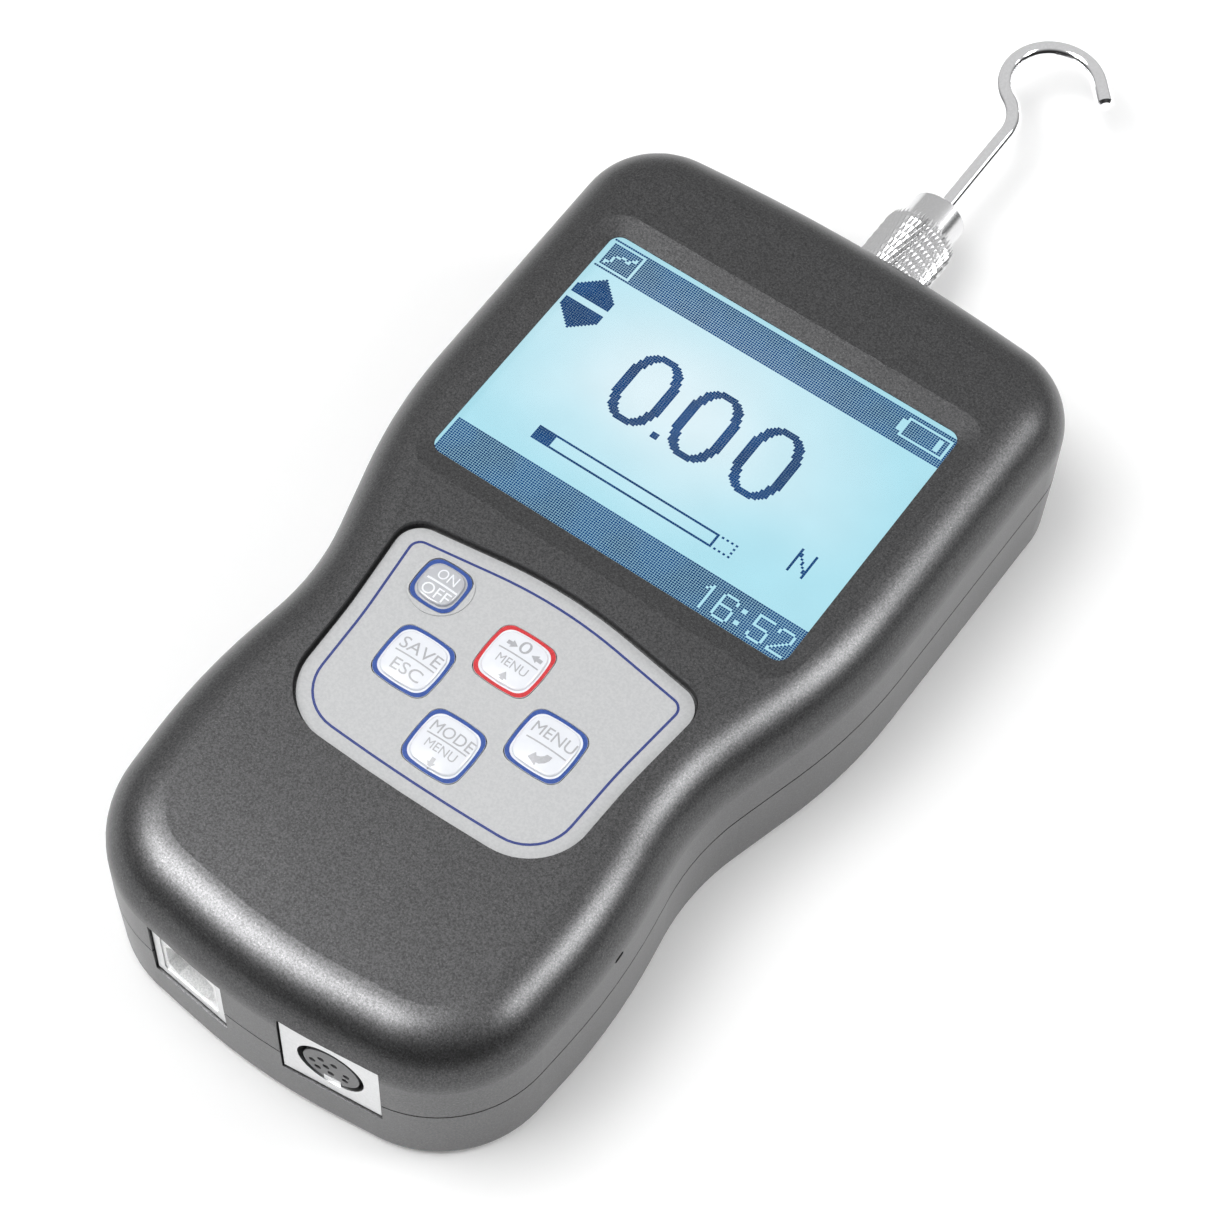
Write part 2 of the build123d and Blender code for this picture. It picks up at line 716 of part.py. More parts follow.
with BuildPart() as measuring_shaft:
    with BuildSketch(turning_plane):
        with BuildLine():
            Polyline(
                (0, shaft_near),
                (shaft_radius - shaft_chamfer, shaft_near),
                (shaft_radius, shaft_near + shaft_chamfer),
                (shaft_radius, shaft_far - shaft_chamfer),
                (shaft_radius - shaft_chamfer, shaft_far),
                (0, shaft_far),
                close=True,
            )
        make_face()
    revolve(axis=shaft_line)
save(measuring_shaft, "measuring_shaft")

with BuildPart() as shaft_nuts:
    for start in (beam_near - stop_gap - nut_thickness, beam_far + stop_gap):
        with BuildSketch(shaft_plane.offset(-start)):
            with Locations((0, axis_height)):
                RegularPolygon(nut_flats / 2, 6, major_radius=False)
                Circle(shaft_radius, mode=Mode.SUBTRACT)
        extrude(amount=-nut_thickness)
save(shaft_nuts, "shaft_nuts")

with BuildPart() as shaft_bush:
    with BuildSketch(turning_plane):
        with BuildLine():
            Polyline(
                (shaft_radius + running_clearance, bush_near),
                (bush_flange_radius, bush_near),
                (bush_flange_radius, bush_near + bush_flange_thickness),
                (bush_radius, bush_near + bush_flange_thickness),
                (bush_radius, bush_far),
                (shaft_radius + running_clearance, bush_far),
                close=True,
            )
        make_face()
    revolve(axis=shaft_line)
save(shaft_bush, "shaft_bush")

with BuildPart() as hook_collar:
    with BuildSketch(turning_plane):
        with BuildLine():
            Polyline(
                (shaft_radius + running_clearance, collar_start),
                (knurl_radius - collar_chamfer, collar_start),
                (knurl_radius, collar_start + collar_chamfer),
                (knurl_radius, knurl_end - collar_chamfer),
                (knurl_radius - collar_chamfer, knurl_end),
                (nose_radius, knurl_end),
                (nose_radius, nose_end - collar_chamfer),
                (nose_radius - collar_chamfer, nose_end),
                (wire_radius + 0.02, nose_end),
                (wire_radius + 0.02, wire_start - 0.2),
                (shaft_radius + running_clearance, wire_start - 0.2),
                close=True,
            )
        make_face()
    revolve(axis=shaft_line)
save(hook_collar, "hook_collar")

# The wire runs straight out of the collar, bends to the left, and turns back over the shaft line as
# an open ring that ends in a short straight tip. The left bend touches the ring where they meet.
bend_turn = degrees(acos((ring_centre[0] + bend_radius) / (ring_radius + bend_radius)))
bend_start = ring_centre[1] - (ring_radius + bend_radius) * sin(radians(bend_turn))
ring_turn = bend_turn + 180 - ring_end_angle
with BuildPart() as hook_wire:
    with BuildLine(turning_plane) as hook_path:
        stem = Line((0, wire_start), (0, bend_start))
        bend = JernArc(stem @ 1, stem % 1, bend_radius, bend_turn)
        ring = JernArc(bend @ 1, bend % 1, ring_radius, -ring_turn)
        Line(ring @ 1, ring @ 1 + (ring % 1) * tip_length)
    with BuildSketch(Plane.XZ.offset(-wire_start)):
        with Locations((0, axis_height)):
            Circle(wire_radius)
    sweep(path=hook_path.line)
    chamfer(hook_wire.faces().sort_by(SortBy.AREA)[:2].edges(), tip_chamfer)
save(hook_wire, "hook_wire")

# ---- inserts and housing screws -----------------------------------------------------------------
with BuildPart() as mount_inserts:
    with BuildSketch(Plane.XY):
        with Locations((0, insert_centre_y)):
            with GridLocations(*insert_spacing, 2, 2):
                Circle(insert_radius)
                Circle(thread_radius, mode=Mode.SUBTRACT)
    extrude(amount=insert_length)
save(mount_inserts, "mount_inserts")

with BuildPart() as housing_screws:
    with Locations(*[(x, y, screw_seat - screw_head_height) for x, y in case_screw_places]):
        Cylinder(screw_head_radius, screw_head_height, align=BOTTOM_CENTRE)
    with Locations(*[(x, y, screw_seat) for x, y in case_screw_places]):
        Cylinder(pilot_radius - 0.05, screw_length, align=BOTTOM_CENTRE)
    with BuildSketch(Plane.XY.offset(screw_seat - screw_head_height)):
        with Locations(*case_screw_places):
            RegularPolygon(screw_socket_flats / 2, 6, major_radius=False)
    extrude(amount=screw_socket_depth, mode=Mode.SUBTRACT)
save(housing_screws, "housing_screws")
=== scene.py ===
"""Finishes and small visible pieces of a hand-held force gauge, laid out as an add-on."""
from math import atan2, cos, pi, sin, tau

import bmesh
import bpy
import numpy as np
from mathutils import Matrix, Vector
from mathutils.bvhtree import BVHTree


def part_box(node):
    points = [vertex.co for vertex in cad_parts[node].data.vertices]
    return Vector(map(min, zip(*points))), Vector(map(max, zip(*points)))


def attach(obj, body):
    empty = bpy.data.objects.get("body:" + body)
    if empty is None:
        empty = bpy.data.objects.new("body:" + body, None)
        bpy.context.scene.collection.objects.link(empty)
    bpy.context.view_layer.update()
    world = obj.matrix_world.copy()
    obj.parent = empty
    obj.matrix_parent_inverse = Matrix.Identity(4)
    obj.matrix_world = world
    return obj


bl_info = {
    "name": "Force Gauge Finisher",
    "version": (1, 0, 0),
    "blender": (4, 5, 0),
    "location": "3D View > Sidebar > Gauge",
    "description": "Paints a force gauge and adds its prints, display picture and knurl",
    "category": "Object",
}

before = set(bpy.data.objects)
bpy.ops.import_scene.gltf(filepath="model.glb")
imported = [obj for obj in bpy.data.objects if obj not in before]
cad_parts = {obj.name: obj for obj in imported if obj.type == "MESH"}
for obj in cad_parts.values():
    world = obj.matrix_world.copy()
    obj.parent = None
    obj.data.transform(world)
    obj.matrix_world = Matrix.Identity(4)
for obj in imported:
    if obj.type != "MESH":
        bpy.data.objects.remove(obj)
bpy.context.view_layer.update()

MM = 0.001
PRINT_LIFT = 0.012 * MM
PRINT_THICKNESS = 0.02 * MM
WHOLE_PRINT = 50 * MM  # a cell wider than any print, so that the print isn't divided
WELD = 1e-7
SMALL_KEY = "key_on_off"
KEYS = (SMALL_KEY, "key_save_escape", "key_zero", "key_mode", "key_menu")


# ---- shader trees -------------------------------------------------------------------------------
class Signal:
    """An output of a shader node. Sums and products of signals add the Math nodes they need."""

    def __init__(self, finish, socket):
        self.finish = finish
        self.socket = socket

    def _math(self, operation, first, second):
        return self.finish.node("Math", {"operation": operation}, {0: first, 1: second})

    def __add__(self, other):
        return self._math("ADD", self, other)

    def __sub__(self, other):
        return self._math("SUBTRACT", self, other)

    def __rsub__(self, other):
        return self._math("SUBTRACT", other, self)

    def __mul__(self, other):
        return self._math("MULTIPLY", self, other)

    def __truediv__(self, other):
        return self._math("DIVIDE", self, other)

    def __abs__(self):
        return self._math("ABSOLUTE", self, 0.0)

    def atleast(self, other):
        return self._math("MAXIMUM", self, other)

    def root(self):
        return self._math("SQRT", self, 0.0)

    def ease(self, low, high):
        """0 below low and 1 above high, with a smooth step between."""
        smooth = {"interpolation_type": "SMOOTHSTEP"}
        span = {"Value": self, "From Min": low, "From Max": high}
        return self.finish.node("MapRange", smooth, span)

    __radd__ = __add__
    __rmul__ = __mul__


class Shading:
    """A shader tree with one method that adds any node and one that mixes colours."""

    def __init__(self, tree):
        self.tree = tree

    def _feed(self, socket, value):
        if isinstance(value, Signal):
            self.tree.links.new(value.socket, socket)
        elif hasattr(socket.default_value, "__len__") and not hasattr(value, "__len__"):
            socket.default_value = [value] * len(socket.default_value)
        else:
            socket.default_value = value

    def node(self, kind, settings=None, feeds=None, output=0):
        """Adds a ShaderNode of that kind, sets it up, feeds its sockets and returns one output."""
        added = self.tree.nodes.new("ShaderNode" + kind)
        for name, value in (settings or {}).items():
            setattr(added, name, value)
        for key, value in (feeds or {}).items():
            self._feed(added.inputs[key], value)
        return Signal(self, added.outputs[output])

    def blend(self, share, first, second):
        """Mixes two colours; the colour mix has its own sockets among those of the other types."""
        factor, colour_a, colour_b, result = 0, 6, 7, 2
        added = self.tree.nodes.new("ShaderNodeMix")
        added.data_type = "RGBA"
        self._feed(added.inputs[factor], share)
        for socket, colour in ((colour_a, first), (colour_b, second)):
            self._feed(added.inputs[socket], colour if isinstance(colour, Signal) else (*colour, 1.0))
        return Signal(self, added.outputs[result])


class Finish(Shading):
    """One material, with a Principled shader."""

    def __init__(self, name, colour, roughness, metallic=0.0, **others):
        self.material = bpy.data.materials.new(name)
        self.material.use_nodes = True
        super().__init__(self.material.node_tree)
        self.shader = self.tree.nodes["Principled BSDF"]
        self.material.diffuse_color = (*colour, 1.0)
        self.set("Base Color", (*colour, 1.0))
        self.set("Roughness", roughness)
        self.set("Metallic", metallic)
        for socket, value in others.items():
            self.set(socket.replace("_", " "), value)

    def set(self, socket, value):
        """Gives one of the Principled shader's sockets a value or a link."""
        self._feed(self.shader.inputs[socket], value)

    def place(self):
        """Position on the piece, in metres."""
        return self.node("TexCoord", output="Object")

    def axis(self, which):
        """One coordinate of the position, in millimetres."""
        return self.node("SeparateXYZ", feeds={0: self.place()}, output=which) * (1 / MM)

    def noise(self, size, detail=2.0, roughness=0.5, stretch=(1, 1, 1)):
        """Grey noise with features of that size in millimetres."""
        place = self.node("Mapping", feeds={"Vector": self.place(), "Scale": stretch})
        feeds = {"Vector": place, "Scale": 1 / (size * MM), "Detail": detail, "Roughness": roughness}
        return self.node("TexNoise", feeds=feeds, output="Fac")

    def bump(self, height, distance):
        """Small relief from a height signal; distance is the full height in millimetres."""
        feeds = {"Height": height, "Distance": distance * MM, "Strength": 1.0}
        self.set("Normal", self.node("Bump", feeds=feeds))


def charcoal_paint():
    """Dark metallic coat with a fine sparkle and an even orange-peel grain."""
    paint = Finish("charcoal_paint", (0.08, 0.08, 0.082), 0.36, 0.85)
    grain = paint.noise(size=0.3, detail=3.0, roughness=0.7)
    cloud = paint.noise(size=9.0)
    flake = paint.noise(size=0.2, detail=1.0).ease(0.6, 0.74)
    shade = paint.blend(grain.ease(0.3, 0.7), (0.048, 0.048, 0.049), (0.098, 0.098, 0.1))
    paint.set("Base Color", paint.blend(flake * 0.35, shade, (0.22, 0.22, 0.22)))
    paint.set("Roughness", 0.32 + cloud * 0.03 + grain * 0.08)
    paint.bump(grain, 0.01)
    return paint.material


def keypad_film():
    """Pale grey satin film with a faint pearl."""
    film = Finish("keypad_film", (0.5, 0.505, 0.51), 0.38)
    grain = film.noise(size=0.35, roughness=0.6)
    shade = film.blend(grain.ease(0.3, 0.7), (0.49, 0.497, 0.505), (0.55, 0.555, 0.56))
    film.set("Base Color", shade)
    film.set("Roughness", 0.36 + grain * 0.08)
    film.bump(grain, 0.006)
    return film.material


def key_white():
    """Glossy white key film over a dome."""
    white = Finish("key_white", (0.78, 0.8, 0.84), 0.22, Coat_Weight=0.3, Coat_Roughness=0.12)
    soft = white.noise(size=1.6)
    white.set("Base Color", white.blend(soft, (0.78, 0.8, 0.85), (0.87, 0.89, 0.93)))
    white.set("Roughness", 0.2 + soft * 0.08)
    return white.material


def key_grey():
    """The small key's grey film, glossier than the field round it."""
    grey = Finish("key_grey", (0.5, 0.51, 0.53), 0.24, Coat_Weight=0.3, Coat_Roughness=0.12)
    soft = grey.noise(size=1.2)
    grey.set("Base Color", grey.blend(soft, (0.47, 0.48, 0.51), (0.55, 0.56, 0.59)))
    grey.set("Roughness", 0.22 + soft * 0.08)
    return grey.material


def ink(name, colour, spread=0.12, roughness=0.4):
    """A printed ink with the faint unevenness of a screen print."""
    printed = Finish(name, colour, roughness)
    mottle = printed.noise(size=0.3)
    thin = tuple(min(1.0, part * (1 + spread) + 0.01) for part in colour)
    thick = tuple(part * (1 - spread) for part in colour)
    printed.set("Base Color", printed.blend(mottle.ease(0.3, 0.7), thick, thin))
    printed.set("Roughness", roughness - 0.04 + mottle * 0.08)
    return printed.material


def bright_metal(name, colour, roughness, scratch=0.12, size=0.4, stretch=(1, 1, 1)):
    """Plated or turned metal with fine uneven polish."""
    metal = Finish(name, colour, roughness, 1.0)
    marks = metal.noise(size, detail=3.0, roughness=0.6, stretch=stretch)
    dark = tuple(part * (1 - scratch) for part in colour)
    metal.set("Base Color", metal.blend(marks.ease(0.3, 0.75), dark, colour))
    metal.set("Roughness", roughness * 0.85 + marks * roughness * 0.3)
    metal.bump(marks, 0.0015)
    return metal.material


def moulding(name, colour, roughness=0.5):
    """Moulded plastic with an eroded grain."""
    plastic = Finish(name, colour, roughness)
    grain = plastic.noise(size=0.25, roughness=0.6)
    light = tuple(min(1.0, part * 1.25 + 0.004) for part in colour)
    dark = tuple(part * 0.85 for part in colour)
    plastic.set("Base Color", plastic.blend(grain.ease(0.3, 0.7), dark, light))
    plastic.set("Roughness", roughness - 0.05 + grain * 0.1)
    plastic.bump(grain, 0.008)
    return plastic.material


def solder_mask():
    """Green board with the faint outline of copper areas under the mask."""
    board = Finish("solder_mask", (0.02, 0.14, 0.05), 0.35)
    patch = board.noise(size=4.0, detail=0.0).ease(0.47, 0.53)
    board.set("Base Color", board.blend(patch, (0.012, 0.1, 0.035), (0.03, 0.19, 0.07)))
    board.set("Roughness", 0.3 + patch * 0.12)
    board.bump(patch, 0.03)
    return board.material


def backlit_field():
    """The display's lit field: pale cyan, whiter near its middle, with a faint speckle."""
    bright_spot, spread_across, spread_along = (-6.0, 5.0), 620.0, 260.0
    middle = middle_of("display_glass") / MM
    field = Finish("backlit_field", (0.02, 0.03, 0.035), 0.3)
    across = field.axis("X") - (middle.x + bright_spot[0])
    along = field.axis("Y") - (middle.y + bright_spot[1])
    away = (across * across / spread_across + along * along / spread_along).root()
    cloud = field.noise(size=16.0, detail=1.0)
    glow = 1 - (away + cloud * 0.5).ease(0.25, 1.75)
    shade = field.blend(glow, (0.41, 0.76, 0.87), (0.76, 0.9, 0.95))
    speck = field.noise(size=0.3, detail=1.0)
    field.set("Emission Color", field.blend(speck * 0.12, shade, (0.55, 0.8, 0.9)))
    field.set("Emission Strength", settings().glow)
    return field.material


def lit_dot():
    """A dark dot of the display; the light behind tints it blue."""
    dot = Finish("lit_dot", (0.002, 0.006, 0.015), 0.5, Specular_IOR_Level=0.0)
    tint = dot.noise(size=7.0, detail=1.0).ease(0.35, 0.65)
    dot.set("Emission Color", dot.blend(tint, (0.0, 0.04, 0.16), (0.0, 0.06, 0.23)))
    dot.set("Emission Strength", 1.0)
    return dot.material


def clear_pane():
    """Thin clear pane: nearly invisible, with a gloss that still shows."""
    pane = Finish("clear_pane", (0.05, 0.06, 0.07), 0.03)
    smear = pane.noise(size=6.0)
    pane.set("Alpha", 0.06 + smear * 0.04)
    pane.set("Roughness", 0.03 + smear * 0.03)
    return pane.material


def cell_sleeve():
    """Shrink sleeve of the cells, green with bare metal near the ends."""
    sleeve_end = 21.3
    sleeve = Finish("cell_sleeve", (0.05, 0.2, 0.09), 0.35)
    grain = sleeve.noise(size=0.8)
    bare = abs(sleeve.axis("X")).ease(sleeve_end - 0.1, sleeve_end + 0.1)
    green = sleeve.blend(grain, (0.04, 0.16, 0.07), (0.06, 0.24, 0.11))
    sleeve.set("Base Color", sleeve.blend(bare, green, (0.6, 0.6, 0.6)))
    sleeve.set("Metallic", bare)
    return sleeve.material


# ---- mesh helpers -------------------------------------------------------------------------------
def middle_of(node):
    """Middle of a CAD node's box, in metres."""
    low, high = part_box(node)
    return (low + high) / 2


def linked(name, data):
    """An object at the origin that shows that data."""
    thing = bpy.data.objects.new(name, data)
    bpy.context.scene.collection.objects.link(thing)
    return thing


def piece_from(name, vertices, faces, material):
    """A mesh piece at the origin, with its place in its mesh."""
    mesh = bpy.data.meshes.new(name)
    mesh.from_pydata(vertices, [], faces)
    mesh.materials.append(material)
    mesh.validate()
    mesh.update()
    return linked(name, mesh)


def baked(thing, name, material=None):
    """Turns text or a mesh with a modifier into a plain mesh piece at the origin."""
    bpy.context.view_layer.update()
    graph = bpy.context.evaluated_depsgraph_get()
    mesh = bpy.data.meshes.new_from_object(thing.evaluated_get(graph), depsgraph=graph)
    mesh.transform(thing.matrix_world)
    bpy.data.objects.remove(thing)
    mesh.name = name
    if material is not None:
        mesh.materials.clear()
        mesh.materials.append(material)
    return linked(name, mesh)


def joined(parts, name):
    """Joins mesh pieces into one."""
    work = bmesh.new()
    for part in parts:
        work.from_mesh(part.data)
    mesh = bpy.data.meshes.new(name)
    for material in parts[0].data.materials:
        mesh.materials.append(material)
    work.to_mesh(mesh)
    work.free()
    for part in parts:
        bpy.data.objects.remove(part)
    return linked(name, mesh)


def paint(material, *nodes):
    """Gives CAD nodes a material."""
    for name in nodes:
        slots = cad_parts[name].data.materials
        slots.clear()
        slots.append(material)


def rounded_corners(half, corner_steps=10):
    """Closed outline with a tangent arc at each (x, y, radius) corner; the left half is mirrored."""
    corners = list(half) + [(-x, y, radius) for x, y, radius in half[-2:0:-1]]
    points = []
    count = len(corners)
    for index, (x, y, radius) in enumerate(corners):
        here = Vector((x, y))
        back = (Vector(corners[index - 1][:2]) - here).normalized()
        ahead = (Vector(corners[(index + 1) % count][:2]) - here).normalized()
        half_angle = back.angle(ahead) / 2
        reach = radius * cos(half_angle) / sin(half_angle)
        centre = here + (back + ahead).normalized() * (radius / sin(half_angle))
        start, end = here + back * reach - centre, here + ahead * reach - centre
        first = atan2(start.y, start.x)
        sweep = (atan2(end.y, end.x) - first + pi) % tau - pi
        for step in range(corner_steps + 1):
            turn = first + sweep * step / corner_steps
            points.append(centre + Vector((cos(turn), sin(turn))) * radius)
    return points


def inset(points, distance):
    """Moves a closed outline inwards, whichever way round it runs."""
    following = points[1:] + points[:1]
    area = sum(a.x * b.y - b.x * a.y for a, b in zip(points, following))
    side = 1 if area > 0 else -1
    moved = []
    for before, point, after in zip(points[-1:] + points[:-1], points, following):
        tangent = ((point - before).normalized() + (after - point).normalized()).normalized()
        moved.append(point + Vector((-tangent.y, tangent.x)) * side * distance)
    return moved


def flat_print(name, outline, material):
    """A thin closed plate on z = 0 with that outline, in millimetres."""
    count = len(outline)
    vertices = [(x * MM, y * MM, z) for z in (0, PRINT_THICKNESS) for x, y in outline]
    faces = [tuple(range(count))[::-1], tuple(range(count, 2 * count))]
    faces += [(i, (i + 1) % count, count + (i + 1) % count, count + i) for i in range(count)]
    return piece_from(name, vertices, faces, material)


def flat_ring(name, outer, inner, material):
    """A thin closed ring on z = 0 between two outlines with the same number of points."""
    count = len(outer)
    levels = ((outer, 0), (inner, 0), (inner, PRINT_THICKNESS), (outer, PRINT_THICKNESS))
    vertices = [(x * MM, y * MM, z) for outline, z in levels for x, y in outline]
    faces = []
    for level in range(len(levels)):
        here, there = level * count, (level + 1) % len(levels) * count
        for step in range(count):
            ahead = (step + 1) % count
            faces.append((here + step, here + ahead, there + ahead, there + step))
    return piece_from(name, vertices, faces, material)


def laid_on(piece, node, cell=0.45 * MM):
    """Lays a print that lies on z = 0 on top of a CAD node, cut into cells that follow its form."""
    work = bmesh.new()
    work.from_mesh(piece.data)
    bmesh.ops.remove_doubles(work, verts=work.verts, dist=WELD)
    for axis, normal in enumerate((Vector((1, 0, 0)), Vector((0, 1, 0)))):
        places = [vertex.co[axis] for vertex in work.verts]
        line = min(places) + cell
        while line < max(places):
            everything = work.verts[:] + work.edges[:] + work.faces[:]
            bmesh.ops.bisect_plane(work, geom=everything, dist=WELD / 10, plane_co=normal * line,
                                   plane_no=normal)
            line += cell
    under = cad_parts[node].data
    tree = BVHTree.FromPolygons([v.co for v in under.vertices], [p.vertices for p in under.polygons])
    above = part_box(node)[1].z + 1 * MM
    for vertex in work.verts:
        hit = tree.ray_cast(Vector((*vertex.co.xy, above)), Vector((0, 0, -1)))[0]
        if hit is None:
            raise RuntimeError(f"{piece.name} hangs over the edge of {node}")
        vertex.co.z += hit.z + PRINT_LIFT
    bmesh.ops.recalc_face_normals(work, faces=work.faces)
    work.to_mesh(piece.data)
    work.free()


# ---- geometry nodes -----------------------------------------------------------------------------
class Recipe:
    """A Geometry Nodes tree with named inputs, applied to a mesh of points."""

    def __init__(self, name, **inputs):
        self.tree = bpy.data.node_groups.new(name, "GeometryNodeTree")
        self.tree.interface.new_socket("Geometry", in_out="INPUT", socket_type="NodeSocketGeometry")
        self.tree.interface.new_socket("Geometry", in_out="OUTPUT", socket_type="NodeSocketGeometry")
        self.identifiers = {}
        for key, (kind, default) in inputs.items():
            item = self.tree.interface.new_socket(key, in_out="INPUT", socket_type="NodeSocket" + kind)
            if default is not None:
                item.default_value = default
            self.identifiers[key] = item.identifier
        self.given = self.tree.nodes.new("NodeGroupInput")
        self.result = self.tree.nodes.new("NodeGroupOutput")

    def add(self, kind, settings=None, feeds=None, output=0):
        """Adds a node of that kind and returns one of its outputs."""
        added = self.tree.nodes.new(kind)
        for key, value in (settings or {}).items():
            setattr(added, key, value)
        for key, value in (feeds or {}).items():
            if isinstance(value, bpy.types.NodeSocket):
                self.tree.links.new(value, added.inputs[key])
            else:
                added.inputs[key].default_value = value
        return added.outputs[output]

    def input(self, key):
        return self.given.outputs[key]

    def finish(self, geometry, material):
        """Realises instances, sets the material and closes the tree."""
        solid = self.add("GeometryNodeRealizeInstances", feeds={0: geometry})
        dressed = self.add("GeometryNodeSetMaterial", feeds={"Geometry": solid, "Material": material})
        self.tree.links.new(dressed, self.result.inputs[0])

    def run(self, name, seeds, **values):
        """Applies the tree to a points object and returns the plain mesh piece."""
        modifier = seeds.modifiers.new("recipe", "NODES")
        modifier.node_group = self.tree
        for key, value in values.items():
            modifier[self.identifiers[key]] = value
        return baked(seeds, name)


def seed_points(name, places, normals=None):
    """An object whose vertices are the places, with an optional normal for each."""
    mesh = bpy.data.meshes.new(name)
    mesh.from_pydata([tuple(p) for p in places], [], [])
    if normals is not None:
        attribute = mesh.attributes.new("outward", "FLOAT_VECTOR", "POINT")
        attribute.data.foreach_set("vector", [part for normal in normals for part in normal])
    return linked(name, mesh)


# ---- display picture ----------------------------------------------------------------------------
class DotPicture:
    """The display's grid of dots, each dark or clear. Columns count to the right and rows up."""

    def __init__(self, columns, rows):
        self.dark = np.zeros((columns, rows), bool)

    def fill(self, left, bottom, right, top, dark=True):
        self.dark[left:right + 1, bottom:top + 1] = dark

    def line(self, corners, dark=True):
        """Draws a broken line through (column, row) corners, one dot wide."""
        for (c0, r0), (c1, r1) in zip(corners, corners[1:]):
            steps = max(abs(c1 - c0), abs(r1 - r0), 1)
            for step in range(steps + 1):
                column = round(c0 + (c1 - c0) * step / steps)
                row = round(r0 + (r1 - r0) * step / steps)
                self.fill(column, row, column, row, dark)

    def box(self, left, bottom, right, top, dark=True):
        """Draws the outline of a box, one dot wide."""
        corners = (left, bottom), (right, bottom), (right, top), (left, top), (left, bottom)
        self.line(corners, dark)

    def nought(self, centre, half, stroke, power=2.4):
        """A tall oval figure 0; half sizes and strokes are given across and along."""
        hole = [size - thickness for size, thickness in zip(half, stroke)]
        for column, row in np.ndindex(self.dark.shape):
            reach = abs(column - centre[0]), abs(row - centre[1])
            in_figure, in_hole = (
                sum((part / size) ** power for part, size in zip(reach, oval)) <= 1
                for oval in (half, hole)
            )
            if in_figure and not in_hole:
                self.dark[column, row] = True


# strokes of each clock figure, as (column, row) corners
CLOCK_STROKES = {
    "1": [[(0, 9), (2, 11), (2, 0)]],
    "6": [[(6, 9), (6, 10), (5, 11), (1, 11), (0, 10), (0, 1), (1, 0), (5, 0), (6, 1), (6, 5),
           (5, 6), (0, 6)]],
    "5": [[(6, 11), (0, 11), (0, 6), (5, 6), (6, 5), (6, 1), (5, 0), (1, 0), (0, 1), (0, 2)]],
    "2": [[(0, 9), (0, 10), (1, 11), (5, 11), (6, 10), (6, 7), (0, 1), (0, 0), (6, 0)]],
    ":": [[(0, 8), (0, 9)], [(1, 8), (1, 9)], [(0, 2), (0, 3)], [(1, 2), (1, 3)]],
}
CLOCK_WIDTHS = {"1": 7, ":": 6}
CLOCK_WIDTH, CLOCK_LEFT, CLOCK_FOOT = 9, 114, 4
LOWER_BAR_TOP, UPPER_BAR_FOOT = 19, 112


def display_picture(columns, rows):
    """Everything that the display shows: two bars, marks, reading, bar graph, unit and clock."""
    picture = DotPicture(columns, rows)
    picture.fill(0, UPPER_BAR_FOOT, columns - 1, rows - 1)
    picture.fill(0, 1, columns - 1, LOWER_BAR_TOP)
    # curve mark
    picture.box(0, 113, 14, 126, False)
    picture.line([(2, 115), (2, 116), (4, 117), (4, 119), (6, 120), (7, 121), (8, 121)], False)
    picture.line([(8, 121), (9, 120), (10, 120), (11, 122), (12, 122), (12, 123)], False)
    # up and down marks
    widest, height, upper_foot, lower_top = 8, 13, 96, 92
    for step in range(height):
        reach = min(widest, height - 1 - step)
        for row in (upper_foot + step, lower_top - step):
            picture.fill(widest - reach, row, widest + reach, row)
    # battery mark
    picture.box(134, 116, 152, 125, False)
    picture.fill(132, 118, 133, 123, False)
    picture.fill(148, 118, 149, 123, False)
    # reading
    for middle in (48, 75, 102):
        picture.nought(centre=(middle, 73.5), half=(10.6, 18.2), stroke=(3.9, 3.1))
    picture.fill(61, 57, 63, 59)
    # bar graph, with a dotted end
    left, foot, right, top, dotted_right = 26, 29, 105, 35, 113
    picture.box(left, foot, right, top)
    picture.fill(left, foot, 33, top)
    dots = [(column, row) for column in range(right + 2, dotted_right + 1, 2) for row in (foot, top)]
    dots += [(dotted_right, row) for row in range(foot, top + 1, 2)]
    for column, row in dots:
        picture.fill(column, row, column, row)
    # unit
    picture.line([(133, 38), (133, 49)])
    picture.line([(133, 48), (139, 39)])
    picture.line([(139, 38), (139, 49)])
    # clock
    left = CLOCK_LEFT
    for sign in "16:52":
        for stroke in CLOCK_STROKES[sign]:
            picture.line([(left + column, CLOCK_FOOT + row) for column, row in stroke], False)
        left += CLOCK_WIDTHS.get(sign, CLOCK_WIDTH)
    return picture.dark


